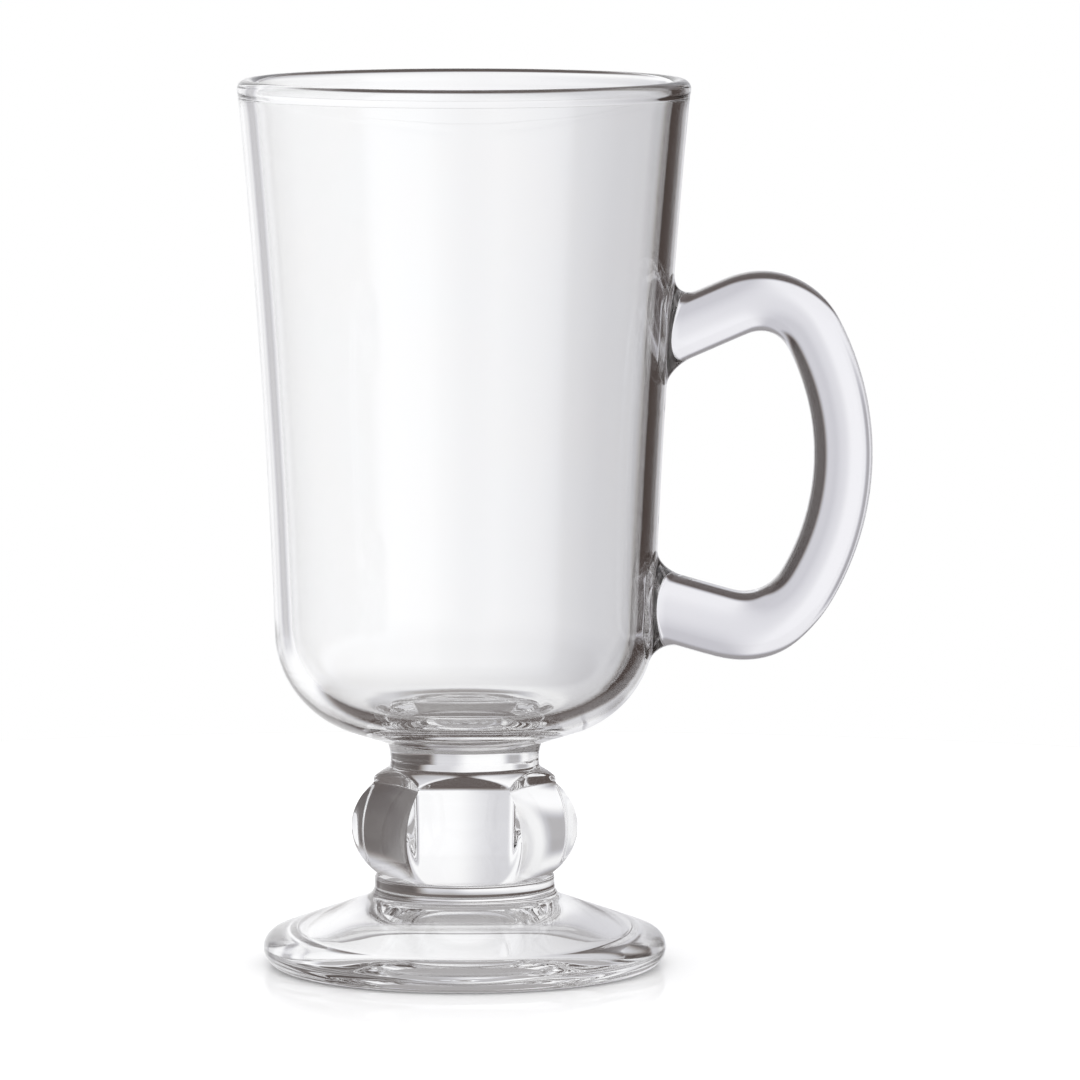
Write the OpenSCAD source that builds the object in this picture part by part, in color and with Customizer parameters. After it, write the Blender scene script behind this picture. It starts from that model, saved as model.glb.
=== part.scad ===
// Irish coffee glass mug: a tapered cup on a short stem with a six sided knop,
// a domed foot that is hollow underneath, and a D-shaped ear on one side.
// Millimetres, +Z up. The origin is on the axis of the cup, in the standing plane.
// The ear points along +X. All pieces are clear glass and meet at their weld faces.

/* [Cup] */
// Overall height, from the standing plane to the top of the rim
height = 147; // [141:1:156]
// Outer diameter of the rim bead
rim_d = 74.8; // [72.4:0.2:80]
// How much wider the rim is than the cup where the wall meets the round bottom
cup_taper = 12; // [10:0.2:14]
// Thickness of the cup wall
wall = 2.8; // [2.2:0.1:3.1]
// Radius of the rounded rim bead
bead_r = 1.65; // [1.65:0.05:2.2]
// How far down its outer side the bead stands clear of the wall, in degrees
bead_wrap = 28; // [20:1:40]
// Lean of the wall from upright where it leaves the bottom curve, in degrees
wall_lean = 2; // [1:0.1:2.6]
// Radius of the outer bottom curve
corner_r = 17.5; // [14:0.5:18.5]
// Slope of the bottom below the curve, in degrees
bottom_slope = 18; // [12:1:22]
// Thickness of the glass under the cup floor, at the axis
floor_t = 6.2; // [4.6:0.1:8]
// Radius of the inner bottom curve
inner_corner_r = 13.5; // [10:0.5:15]

/* [Stem] */
// Diameter of the collar where it meets the cup
collar_d = 25.7; // [25:0.1:28]
// Diameter of the waist between collar and knop
waist_d = 24.4; // [23:0.1:24.8]
// Height of the collar
collar_h = 2.5; // [2:0.1:4]
// Height of the knop
knop_h = 19.6; // [19.2:0.1:20.6]
// Width of the knop across two opposite panels, at its fullest
knop_af = 33.1; // [31:0.1:35]
// Width of the knop across two opposite rounded corners, at its fullest
knop_ac = 37.2; // [36:0.1:38]
// Upright radius of the bulge of each panel
knop_bulge_r = 11; // [10.6:0.1:12]
// Height of the fullest level of the knop above its lower weld face
knop_mid_h = 8.4; // [8:0.1:8.8]

/* [Foot] */
// Outer diameter of the foot
foot_d = 66.8; // [63:0.2:72]
// Height of the foot up to the weld face under the knop
foot_h = 15.2; // [14.8:0.1:17]
// Diameter of the button on top of the foot
button_d = 29.8; // [29.6:0.1:31]
// Radius of the rounded outer edge of the foot
edge_r = 3; // [2.6:0.1:3.2]
// Slope of the dome of the foot, in degrees
dome_slope = 20; // [18:0.5:21]
// Radius of the hollow curve between dome and button
foot_fillet_r = 1.6; // [1:0.1:2]
// Width of the flat standing ring
ring_w = 2; // [1.4:0.1:3]
// Radius of the inner edge of the standing ring
ring_inner_r = 2; // [1.4:0.1:2.4]
// Diameter of the flat top of the hollow under the foot
hollow_d = 16; // [13:0.5:20]

/* [Handle] */
// Farthest reach of the ear from the axis of the cup
handle_reach = 67.4; // [65:0.2:74]
// Thickness of the ear in its own plane
handle_t = 9.4; // [8:0.1:10]
// Depth of the ear across its plane
handle_depth = 10.6; // [9:0.1:13]
// Squareness of the ear's cross section: 2 is an oval, higher is nearer a rectangle
handle_square = 3; // [2.2:0.1:4]
// Height at which the upper arm leaves the cup wall
handle_z = 104.8; // [102:0.2:108]
// Rise of the upper arm away from the cup, in degrees
upper_rise = 23; // [18:1:26]
// Fall of the lower arm away from the cup, in degrees
lower_fall = 21; // [16:1:24]
// Middle radius of the upper bend
upper_bend_r = 7.8; // [7:0.2:10]
// Middle radius of the grip side
grip_r = 39.6; // [36:0.2:42]
// Middle radius of the lower bend
lower_bend_r = 10.5; // [8:0.5:12]
// Angle through which the upper bend turns, in degrees
upper_turn_angle = 78; // [74:1:80]
// Angle through which the grip side turns, in degrees
grip_turn_angle = 72.7; // [70:0.1:76]
// Width of the flare where each arm meets the cup
root_flare = 3.8; // [2:0.2:4.4]
// Length of the flare along the arm
root_len = 4.6; // [3:0.2:6]

/* [Hidden] */

facets = 96;
// steps of a drawn curve: small rounds, the long wall and the bends of the ear
arc_steps = 12;
wall_steps = 10;
bend_steps = 9;
grip_steps = 14;
root_steps = 7;
section_steps = 24;
panel_count = 6;
glass = [0.80, 0.86, 0.88, 0.55];
glass_dark = [0.66, 0.73, 0.76, 0.60];
quarter = 90;
half_turn = 180;
full_turn = 360;

// Levels of the weld faces above the standing plane
knop_z0 = foot_h;
knop_z1 = foot_h + knop_h;
cup_z0 = knop_z1 + collar_h;

// Outer diameter where the wall meets the round bottom
cup_d = rim_d - cup_taper;

// Outer bottom curve: its centre, and the point where the bottom slope begins
corner_cr = cup_d / 2 - corner_r * cos(wall_lean);
slope_r = corner_cr + corner_r * sin(bottom_slope);
slope_z = cup_z0 + (slope_r - collar_d / 2) * tan(bottom_slope);
corner_cz = slope_z + corner_r * cos(bottom_slope);

// Rim bead: centre, and the point where the outer face of the wall reaches it
bead_cr = rim_d / 2 - bead_r;
bead_cz = height - bead_r;
wall_r1 = bead_cr + bead_r * cos(bead_wrap);
wall_z1 = bead_cz - bead_r * sin(bead_wrap);

// Outer face of the wall: one arc that leaves the bottom curve at wall_lean
wall_z0 = corner_cz - corner_r * sin(wall_lean);
wall_dr = wall_r1 - cup_d / 2;
wall_dz = wall_z1 - wall_z0;
wall_dev = wall_dr * cos(wall_lean) - wall_dz * sin(wall_lean);
wall_r = (wall_dr * wall_dr + wall_dz * wall_dz) / (2 * wall_dev);
wall_cr = cup_d / 2 + wall_r * cos(wall_lean);
wall_cz = wall_z0 - wall_r * sin(wall_lean);

// Inner face of the wall: the same arc, set in by the wall
inner_r = wall_r + wall;
bead_dr = wall_cr - bead_cr;
bead_dz = wall_cz - bead_cz;
bead_far = sqrt(bead_dr * bead_dr + bead_dz * bead_dz);
bead_gap = (bead_far - inner_r) * (bead_far + inner_r) + bead_r * bead_r;
bead_in = full_turn + atan2(bead_dz, bead_dr) - acos(bead_gap / (2 * bead_far * bead_r));
inner_z1 = bead_cz + bead_r * sin(bead_in);

// Floor and inner bottom curve, tangent to the inner face of the wall
floor_z = cup_z0 + floor_t;
inner_cz = floor_z + inner_corner_r;
inner_span = inner_r + inner_corner_r;
inner_cr = wall_cr - sqrt(inner_span * inner_span - pow(inner_cz - wall_cz, 2));
inner_tilt = asin((inner_cz - wall_cz) / inner_span);

// Outer radius of the cup wall at height z
function wall_at(z) = wall_cr - sqrt(wall_r * wall_r - (z - wall_cz) * (z - wall_cz));

// Knop: the bulge of the panels, and the same bulge turned round for the corners
knop_mid_z = knop_z0 + knop_mid_h;
panel_c = knop_af / 2 - knop_bulge_r;
barrel_c = knop_ac / 2 - knop_bulge_r;
bulge_foot_a = -asin(knop_mid_h / knop_bulge_r);
// Throat: the hollow curve from the bulge up to the waist, tangent to the bulge
// and upright at the upper weld face
throat_rise = knop_z1 - knop_mid_z;
waist_in = waist_d / 2 - barrel_c;
throat_dev = waist_in * waist_in + throat_rise * throat_rise - knop_bulge_r * knop_bulge_r;
throat_r = throat_dev / (2 * (knop_bulge_r - waist_in));
throat_cr = waist_d / 2 + throat_r;
throat_a = atan2(throat_rise, throat_cr - barrel_c);
// The panels run out just outside the waist, which makes their arched tops
panel_neck_share = 1.02;
panel_neck = waist_d / 2 * panel_neck_share;

// Foot: centre of the round edge, and the fillet between the dome and the button
edge_cr = foot_d / 2 - edge_r;
dome_r0 = edge_cr + edge_r * sin(dome_slope);
dome_z0 = edge_r + edge_r * cos(dome_slope);
button_r = button_d / 2;
fillet_cr = button_r + foot_fillet_r;
fillet_dz = foot_fillet_r / cos(dome_slope);
fillet_cz = dome_z0 + (dome_r0 - fillet_cr) * tan(dome_slope) + fillet_dz;
// Standing ring, and the cone of the hollow above it
ring_r0 = edge_cr - ring_w;
hollow_r0 = ring_r0 - ring_inner_r;
hollow_r1 = hollow_d / 2;
hollow_z1 = ring_inner_r + (hollow_r0 - hollow_r1) * tan(dome_slope);

// Ear: path of its middle line, from the upper arm round to the lower arm
arm_r0 = wall_at(handle_z);
grip_in = upper_rise - upper_turn_angle;
grip_out = grip_in - grip_turn_angle;
lower_dir = -half_turn - lower_fall;
lower_turn = grip_out - lower_dir;
bend_dr = grip_r - upper_bend_r;
grip_cx = handle_reach - handle_t / 2 - grip_r;
bend1_cx = grip_cx - bend_dr * sin(grip_in);
arm1_x = bend1_cx - upper_bend_r * sin(upper_rise);
arm1_z = handle_z + (arm1_x - arm_r0) * tan(upper_rise);
bend1_cz = arm1_z - upper_bend_r * cos(upper_rise);
grip_cz = bend1_cz - bend_dr * cos(grip_in);
bend2_dr = lower_bend_r - grip_r;
bend2_cx = grip_cx + bend2_dr * sin(grip_out);
bend2_cz = grip_cz - bend2_dr * cos(grip_out);
arm2_x = bend2_cx - lower_bend_r * sin(lower_dir);
arm2_z = bend2_cz + lower_bend_r * cos(lower_dir);
root2_z = arm2_z + (arm2_x - wall_at(arm2_z)) * tan(lower_fall);
root2_r = wall_at(root2_z);
// Both roots run on into the wall, and the outer face of the cup trims them
root_sink = wall;
// The flare begins this far behind the front of the round wall
root_back_share = 0.12;
root_back = root_len * root_back_share;
// The roots spread less across the ear than along its plane
root_side_share = 0.6;
// The roots spread away from each other by this part of the flare
root_lift_share = 0.25;
root_lift = root_flare * root_lift_share;

// Points of an arc of radius r round (cx, cy), from direction a to direction b
function arc(cx, cy, r, a, b, steps, first = 0) =
    [for (i = [first : steps])
        let (t = a + (b - a) * i / steps)
        [cx + r * cos(t), cy + r * sin(t)]];

// Direction in which the centre of the wall sees its face of radius r at height z
function wall_dir(r, z) = half_turn - asin((z - wall_cz) / r);

// Outer half section of the cup, from the weld face up to the rim bead
cup_face = concat(
    [[0, cup_z0], [collar_d / 2, cup_z0]],
    arc(corner_cr, corner_cz, corner_r, bottom_slope - quarter, -wall_lean, arc_steps),
    arc(wall_cr, wall_cz, wall_r, half_turn - wall_lean, wall_dir(wall_r, wall_z1), wall_steps, 1)
);

// Inner half section, over the rim bead and down to the floor
cup_lining = concat(
    arc(bead_cr, bead_cz, bead_r, -bead_wrap, bead_in, arc_steps, 1),
    arc(wall_cr, wall_cz, inner_r, wall_dir(inner_r, inner_z1), half_turn - inner_tilt, wall_steps, 1),
    arc(inner_cr, inner_cz, inner_corner_r, -inner_tilt, -quarter, arc_steps, 1),
    [[0, floor_z]]
);

module bowl() {
    color(glass)
    rotate_extrude($fn = facets)
    polygon(concat(cup_face, cup_lining));
}

// Short waisted ring between the cup and the knop
module collar() {
    flare = (collar_d - waist_d) / 2;
    curve_r = (collar_h * collar_h + flare * flare) / (2 * flare);
    top_a = half_turn - asin(collar_h / curve_r);
    color(glass_dark)
    rotate_extrude($fn = facets)
    polygon(concat(
        [[0, knop_z1]],
        arc(waist_d / 2 + curve_r, knop_z1, curve_r, half_turn, top_a, arc_steps),
        [[0, cup_z0]]
    ));
}

// Space outside one panel of the knop: a block with the bulge taken out of it
module panel_cut() {
    far = knop_ac;
    translate([0, 0, knop_mid_z])
    difference() {
        translate([panel_neck, -far / 2, -knop_h]) cube([far, far, knop_h * 2]);
        translate([panel_c, 0, 0])
            rotate([quarter, 0, 0])
            cylinder(h = far * 2, r = knop_bulge_r, center = true, $fn = facets);
    }
}

module knop() {
    color(glass)
    difference() {
        rotate_extrude($fn = facets)
        polygon(concat(
            [[0, knop_z0]],
            arc(barrel_c, knop_mid_z, knop_bulge_r, bulge_foot_a, throat_a, arc_steps),
            arc(throat_cr, knop_z1, throat_r, half_turn + throat_a, half_turn, arc_steps / 2, 1),
            [[0, knop_z1]]
        ));
        for (k = [0 : panel_count - 1])
            rotate([0, 0, full_turn / panel_count * (k + 1 / 2)]) panel_cut();
    }
}

// Domed foot: button, fillet, dome, round edge, standing ring and hollow
module foot() {
    color(glass)
    rotate_extrude($fn = facets)
    polygon(concat(
        [[0, foot_h], [button_r, foot_h]],
        arc(fillet_cr, fillet_cz, foot_fillet_r, half_turn, half_turn + quarter - dome_slope, arc_steps),
        arc(edge_cr, edge_r, edge_r, quarter - dome_slope, -quarter, arc_steps),
        arc(ring_r0, ring_inner_r, ring_inner_r, -quarter, -half_turn, arc_steps),
        [[hollow_r1, hollow_z1], [0, hollow_z1]]
    ));
}

// One station of the ear: place of the middle line, heading, half thickness, half depth
function station(x, z, heading, grow = 0, slant = 0) =
    [x, z, heading, handle_t / 2 / cos(slant) + grow, handle_depth / 2 + grow * root_side_share];

// Share of the flare left at the share t of its length, as a hollow quarter round
function flare_at(t) = 1 - sqrt(1 - pow(1 - t, 2));
function ease(t) = t * t * (3 - 2 * t);

// Stations of a root at share t along it: upright at the wall, square to the arm outside
function root_station(r_wall, z_wall, slope, side, i) =
    let (out = root_len * (i / root_steps) * (1 + root_sink / root_len) - root_sink)
    let (t = max(0, min(1, (out + root_back) / (root_len + root_back))))
    let (turn = slope * ease(t))
    station(
        r_wall + out,
        z_wall + side * (out * tan(slope) + root_lift * pow(1 - t, 2)),
        side > 0 ? turn : -half_turn - turn,
        root_flare * flare_at(t),
        slope - turn
    );

// Stations of a bend that turns clockwise round (cx, cz) from the heading a
function bend_stations(cx, cz, r, a, turn, steps) =
    [for (i = [0 : steps])
        let (h = a - turn * i / steps)
        station(cx - r * sin(h), cz + r * cos(h), h)];

ear_path = concat(
    [for (i = [0 : root_steps]) root_station(arm_r0, handle_z, upper_rise, 1, i)],
    bend_stations(bend1_cx, bend1_cz, upper_bend_r, upper_rise, upper_turn_angle, bend_steps),
    [for (i = [1 : grip_steps - 1])
        bend_stations(grip_cx, grip_cz, grip_r, grip_in, grip_turn_angle, grip_steps)[i]],
    bend_stations(bend2_cx, bend2_cz, lower_bend_r, grip_out, lower_turn, bend_steps),
    [for (i = [root_steps : -1 : 0]) root_station(root2_r, root2_z, lower_fall, -1, i)]
);

// Point j of the rounded square section at a station
function ear_point(s, j) =
    let (a = full_turn * j / section_steps)
    let (u = s[3] * sign(cos(a)) * pow(abs(cos(a)), 2 / handle_square))
    let (v = s[4] * sign(sin(a)) * pow(abs(sin(a)), 2 / handle_square))
    [s[0] - u * sin(s[2]), v, s[1] + u * cos(s[2])];

module ear_body() {
    n = section_steps;
    last = len(ear_path) - 1;
    polyhedron(
        points = [for (s = ear_path) for (j = [0 : n - 1]) ear_point(s, j)],
        faces = concat(
            [[for (j = [n - 1 : -1 : 0]) j]],
            [for (i = [0 : last - 1]) for (j = [0 : n - 1])
                let (k = (j + 1) % n) [i * n + j, i * n + k, (i + 1) * n + k]],
            [for (i = [0 : last - 1]) for (j = [0 : n - 1])
                let (k = (j + 1) % n) [i * n + j, (i + 1) * n + k, (i + 1) * n + j]],
            [[for (j = [0 : n - 1]) last * n + j]]
        )
    );
}

module handle() {
    color(glass)
    difference() {
        ear_body();
        rotate_extrude($fn = facets) polygon(concat(cup_face, [[0, wall_z1]]));
    }
}

bowl();
collar();
knop();
foot();
handle();
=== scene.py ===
# %% [markdown]
# # A clear pressed-glass mug on a short stem
# The mug is one fused piece of clear glass: a tapered cup, a thin collar, a knop with six
# panels, a domed hollow foot, and an ear that runs out of the wall and back into it.
# Glass has almost no colour of its own, so its look comes from three things: exact smooth
# shapes, glass that is truly continuous where two pieces meet, and a studio round it with
# bright and dark areas for the curves to bend into view.

# %% Open the frame and note its size
import math

import bpy
import numpy as np
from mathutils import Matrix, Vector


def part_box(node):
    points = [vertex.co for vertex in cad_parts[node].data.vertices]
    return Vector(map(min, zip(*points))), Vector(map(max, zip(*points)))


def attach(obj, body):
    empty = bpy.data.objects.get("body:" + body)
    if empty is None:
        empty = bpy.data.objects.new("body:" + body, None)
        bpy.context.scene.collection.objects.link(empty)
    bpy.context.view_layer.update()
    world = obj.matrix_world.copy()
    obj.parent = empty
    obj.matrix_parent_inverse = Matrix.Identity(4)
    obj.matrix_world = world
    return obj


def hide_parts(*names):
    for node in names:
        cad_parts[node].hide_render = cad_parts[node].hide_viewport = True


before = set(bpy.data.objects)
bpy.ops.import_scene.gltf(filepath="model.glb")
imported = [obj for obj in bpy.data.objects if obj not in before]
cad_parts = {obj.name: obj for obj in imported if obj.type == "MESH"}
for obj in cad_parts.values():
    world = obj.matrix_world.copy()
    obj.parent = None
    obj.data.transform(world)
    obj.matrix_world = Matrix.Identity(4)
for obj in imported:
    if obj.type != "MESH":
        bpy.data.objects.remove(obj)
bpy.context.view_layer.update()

# %% [markdown]
# ## Sizes from the frame
# The frame is the measured model of the mug. Its boxes give the levels at which the pieces
# are fused, and its height gives the length that stands for one millimetre of the real mug,
# so that every other size below can be written the way a glass maker would say it: in
# millimetres and degrees.

# %% Levels and the unit
RIM_LEVEL = 147.0
low, high = {}, {}
for name in ("bowl", "knop", "foot", "handle"):
    low[name], high[name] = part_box(name)
mm = high["bowl"].z / RIM_LEVEL
knop_z0, knop_z1, cup_z0 = low["knop"].z / mm, high["knop"].z / mm, low["bowl"].z / mm
foot_r = (high["foot"].x - low["foot"].x) / 2 / mm
rim_r = (high["bowl"].x - low["bowl"].x) / 2 / mm
ear_reach = high["handle"].x / mm
print(f"one millimetre is {mm:.6f} m; weld levels {knop_z0:.2f}, {knop_z1:.2f}, {cup_z0:.2f} mm")
print(f"rim radius {rim_r:.2f}, foot radius {foot_r:.2f}, ear reach {ear_reach:.2f} mm")

# %% [markdown]
# ## The camera
# The photograph looks slightly down on the mug from far away through a long lens. That keeps
# the ellipses of the rim and the foot shallow, and the wall almost without perspective.
# A camera could be aimed at a target, but here it is placed by where it stands, how far it
# tips down, and how long its lens is, because those three came from fitting both ellipses.

# %% Camera
CAMERA_PLACE = (12.49, -1365.8, 215.0)
CAMERA_TIP = 6.027
LENS, SENSOR = 277.0, 36.0
NEAREST, FARTHEST = 0.05, 30.0  # metres
camera_data = bpy.data.cameras.new("camera")
camera_data.lens, camera_data.sensor_width = LENS, SENSOR
camera_data.clip_start, camera_data.clip_end = NEAREST, FARTHEST
camera = bpy.data.objects.new("camera", camera_data)
camera.location = [v * mm for v in CAMERA_PLACE]
camera.rotation_euler = (math.radians(90 - CAMERA_TIP), 0, 0)
bpy.context.scene.collection.objects.link(camera)
bpy.context.scene.camera = camera
print("camera stands", round(-camera.location.y, 3), "m in front of the mug")

# %% [markdown]
# ## Drawing node trees as sums
# Both materials and Geometry Nodes are graphs of small nodes. Wiring them by hand hides the
# idea, so a small class wraps one socket and lets Python's own signs stand for Math nodes.
# One method makes every other node: it takes the node's type, its settings, and its sockets.
# Two short helpers call it for the nodes used most: a ramp between two values, and a noise
# whose grain is given in millimetres.

# %% A socket that can be added and multiplied
class Flow:
    def __init__(self, bench, socket):
        self.bench, self.socket = bench, socket

    def math(self, operation, *values):
        return self.bench.add("ShaderNodeMath", {"operation": operation}, dict(enumerate(values)))

    def __add__(self, other): return self.math("ADD", self, other)
    def __radd__(self, other): return self.math("ADD", other, self)
    def __sub__(self, other): return self.math("SUBTRACT", self, other)
    def __rsub__(self, other): return self.math("SUBTRACT", other, self)
    def __mul__(self, other): return self.math("MULTIPLY", self, other)
    def __rmul__(self, other): return self.math("MULTIPLY", other, self)
    def __truediv__(self, other): return self.math("DIVIDE", self, other)
    def __rtruediv__(self, other): return self.math("DIVIDE", other, self)


print("sockets can be added, subtracted, multiplied and divided")

# %% A bench that makes nodes
class Bench:
    def __init__(self, tree):
        self.tree = tree

    def add(self, kind, settings=None, sockets=None, out=0):
        node = self.tree.nodes.new(kind)
        for name, value in (settings or {}).items():
            if name == "stops":
                self.set_stops(node.color_ramp.elements, value)
            else:
                setattr(node, name, value)
        for key, value in (sockets or {}).items():
            if isinstance(value, Flow):
                self.tree.links.new(value.socket, node.inputs[key])
            else:
                node.inputs[key].default_value = value
        return Flow(self, node.outputs[out]) if len(node.outputs) else node

    def set_stops(self, elements, stops):
        while len(elements) < len(stops):
            elements.new(0.5)
        for element, (position, color) in zip(elements, stops):
            element.position, element.color = position, (*color, 1)

    def other(self, flow, out):
        return Flow(self, flow.socket.node.outputs[out])

    def ramp(self, value, a, b, start=0.0, end=1.0, blend="SMOOTHSTEP"):
        return self.add("ShaderNodeMapRange", {"clamp": True, "interpolation_type": blend}, {
            "Value": value, "From Min": a, "From Max": b, "To Min": start, "To Max": end})

    def noise(self, place, grain, detail, **more):
        return self.add("ShaderNodeTexNoise", {}, {
            "Vector": place, "Scale": 1 / (grain * mm), "Detail": detail, **more})


print("the bench is ready")

# %% [markdown]
# ## Profiles that are drawn, then fire-polished
# A mould is cut with plain arcs and straight lines. After pressing, flames run over the glass
# and round every corner a little. A Bevel modifier could round corners too, but only by one
# radius each. Here a profile is drawn from arcs, walked in tiny steps, and averaged over a
# short length, which softens every change of curve as a flame does. Then it is thinned to the
# rows that a mesh needs: more where it turns, fewer where it runs straight.

# %% Arcs, polish and rows
ARC_STEPS, FINE_STEP, BELL_WIDTH = 48, 0.04, 3


def arc(cx, cy, r, a, b):
    t = np.radians(np.linspace(a, b, ARC_STEPS + 1))
    return np.stack([cx + r * np.cos(t), cy + r * np.sin(t)], 1)


def walk(points, step):
    gaps = np.linalg.norm(np.diff(points, axis=0), axis=1)
    along = np.concatenate([[0], np.cumsum(gaps)])
    marks = np.linspace(0, along[-1], max(2, int(along[-1] / step)) + 1)
    return np.stack([np.interp(marks, along, points[:, k]) for k in range(points.shape[1])], 1)


def polish(points, reach):
    fine = walk(np.asarray(points, float), FINE_STEP)
    half = int(BELL_WIDTH * reach / FINE_STEP)
    weights = np.exp(-0.5 * (np.arange(-half, half + 1) * FINE_STEP / reach) ** 2)
    head = 2 * fine[0] - fine[half:0:-1]
    tail = 2 * fine[-1] - fine[-2:-half - 2:-1]
    padded = np.concatenate([head, fine, tail])
    return np.stack([np.convolve(padded[:, k], weights / weights.sum(), "valid")
                     for k in range(fine.shape[1])], 1)


def thin(fine, turn, longest):
    heading = np.degrees(np.unwrap(np.arctan2(*np.diff(fine, axis=0).T[::-1])))
    gaps = np.linalg.norm(np.diff(fine, axis=0), axis=1)
    kept, bent, run = [0], 0.0, 0.0
    for k in range(1, len(fine) - 1):
        bent += abs(heading[k] - heading[k - 1])
        run += gaps[k - 1]
        if bent >= turn or run >= longest:
            kept.append(k)
            bent, run = 0.0, 0.0
    return fine[kept + [len(fine) - 1]]


sample = thin(polish([(0, 0), (5, 0), (5, 5)], 0.4), turn=4, longest=2)
print("a square corner polished over 0.4 mm keeps", len(sample), "rows")

# %% [markdown]
# ## The profile of the cup
# The outside rises from the stem at a shallow slope, turns through a round bottom, and leaves
# it almost upright. The wall then opens towards the rim along one very large arc and ends in
# a rounded bead. The inside follows the same arc one wall thickness in, with its own rounder
# bottom, so that the glass is thickest under the floor. All arcs touch each other smoothly,
# because a kink too small to see as a shape still shows as a hard line in glass.

# %% Cup sizes
WALL = 2.8
BEAD_R, BEAD_WRAP = 1.65, 28         # the rim's bead, and how many degrees down it reaches
WALL_LEAN = 2.0                      # lean of the wall where it leaves the bottom curve
CORNER_R, BOTTOM_SLOPE = 17.5, 18
FLOOR_T, INNER_CORNER_R = 4.6, 14.5
CUP_TAPER = 6.0                      # how far the wall opens from its lower end to the rim
COLLAR_R = 12.85
CUP_POLISH = 0.3


def sine(a): return math.sin(math.radians(a))
def cosine(a): return math.cos(math.radians(a))
def tangent(a): return math.tan(math.radians(a))


print("wall", WALL, "mm, floor", FLOOR_T, "mm thick")

# %% The outside of the cup
cup_r = rim_r - CUP_TAPER
corner_cr = cup_r - CORNER_R * cosine(WALL_LEAN)
slope_r = corner_cr + CORNER_R * sine(BOTTOM_SLOPE)
slope_z = cup_z0 + (slope_r - COLLAR_R) * tangent(BOTTOM_SLOPE)
corner_cz = slope_z + CORNER_R * cosine(BOTTOM_SLOPE)
bead_cr, bead_cz = rim_r - BEAD_R, RIM_LEVEL - BEAD_R
wall_r1, wall_z1 = bead_cr + BEAD_R * cosine(BEAD_WRAP), bead_cz - BEAD_R * sine(BEAD_WRAP)
wall_z0 = corner_cz - CORNER_R * sine(WALL_LEAN)
run_r, run_z = wall_r1 - cup_r, wall_z1 - wall_z0
wall_bow = run_r * cosine(WALL_LEAN) - run_z * sine(WALL_LEAN)
wall_r = (run_r ** 2 + run_z ** 2) / (2 * wall_bow)
wall_cr, wall_cz = cup_r + wall_r * cosine(WALL_LEAN), wall_z0 - wall_r * sine(WALL_LEAN)
print(f"the wall is an arc of {wall_r:.0f} mm radius")

# %% The inside of the cup
inner_r = wall_r + WALL
bead_far = math.hypot(wall_cr - bead_cr, wall_cz - bead_cz)
bead_gap = (bead_far ** 2 - inner_r ** 2 + BEAD_R ** 2) / (2 * bead_far * BEAD_R)
bead_in = 360 + math.degrees(math.atan2(wall_cz - bead_cz, wall_cr - bead_cr) - math.acos(bead_gap))
inner_z1 = bead_cz + BEAD_R * sine(bead_in)
floor_z = cup_z0 + FLOOR_T
inner_cz = floor_z + INNER_CORNER_R
span = inner_r + INNER_CORNER_R
inner_cr = wall_cr - math.sqrt(span ** 2 - (inner_cz - wall_cz) ** 2)
inner_tilt = math.degrees(math.asin((inner_cz - wall_cz) / span))
print(f"the floor inside is at {floor_z:.1f} mm")

# %% The whole profile, from the stem over the rim to the floor
def wall_heading(r, z): return 180 - math.degrees(math.asin((z - wall_cz) / r))


cup_profile = polish(np.concatenate([
    [(COLLAR_R, cup_z0)],
    arc(corner_cr, corner_cz, CORNER_R, BOTTOM_SLOPE - 90, -WALL_LEAN),
    arc(wall_cr, wall_cz, wall_r, 180 - WALL_LEAN, wall_heading(wall_r, wall_z1))[1:],
    arc(bead_cr, bead_cz, BEAD_R, -BEAD_WRAP, bead_in)[1:],
    arc(wall_cr, wall_cz, inner_r, wall_heading(inner_r, inner_z1), 180 - inner_tilt)[1:],
    arc(inner_cr, inner_cz, INNER_CORNER_R, -inner_tilt, -90)[1:],
    [(0, floor_z)],
]), CUP_POLISH)
top = int(np.argmax(cup_profile[:, 1]))
outside, inside = cup_profile[:top], cup_profile[top:]
print(f"{len(cup_profile)} fine steps, rim top at {cup_profile[top, 1]:.2f} mm")

# %% [markdown]
# ## Where the ear is fused to the cup
# The arms of the ear spread out into the wall. A boolean union would join them, but with a
# ragged seam that shows in glass. For the glass to be continuous, the cup and the ear share
# the very same outline and the very same hidden face inside it. So the outline comes first:
# each point of the arm's cross section is followed back along the arm until it meets the
# wall, and is then pushed outward along the wall by the flare.

# %% Ear sizes
EAR_T, EAR_DEPTH = 9.69, 10.6              # thickness as seen from the side, and depth across
EAR_SQUARE = 3.0                           # 2 is an oval section, higher is nearer a square
EAR_Z, RISE, FALL = 104.84, 23.5, 15.7     # level of the upper arm, slopes of both arms
BEND_1, GRIP_R, BEND_2 = 9.9, 42.7, 11.9   # radii of the upper bend, the grip and the lower bend
TURN_1, TURN_GRIP = 85.5, 58.9             # how far the upper bend and the grip turn
BEND_MORE, BEND_AT, BEND_SPREAD = 0.16, -18, 28    # extra thickness round one heading
ARM_MORE, ARM_AT, ARM_SPREAD = 1.64, -150, 7.8     # extra thickness of the lower arm
FLARE_OUT, FLARE_IN, FLARE_SIDE = 4.6, 2.9, 0.7    # spread of a root: off the loop, in it, aside
FLARE_LEN, FLARE_SIDE_LEN = 4.6, 0.8               # how far along the arm the spread begins
FLARE_FADE = 2.5                                   # how fast the spread fades towards the sides


def wall_at(z):
    return np.interp(z, outside[:, 1], outside[:, 0])


print(f"the wall at the upper arm has a radius of {wall_at(EAR_Z):.2f} mm")

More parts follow.
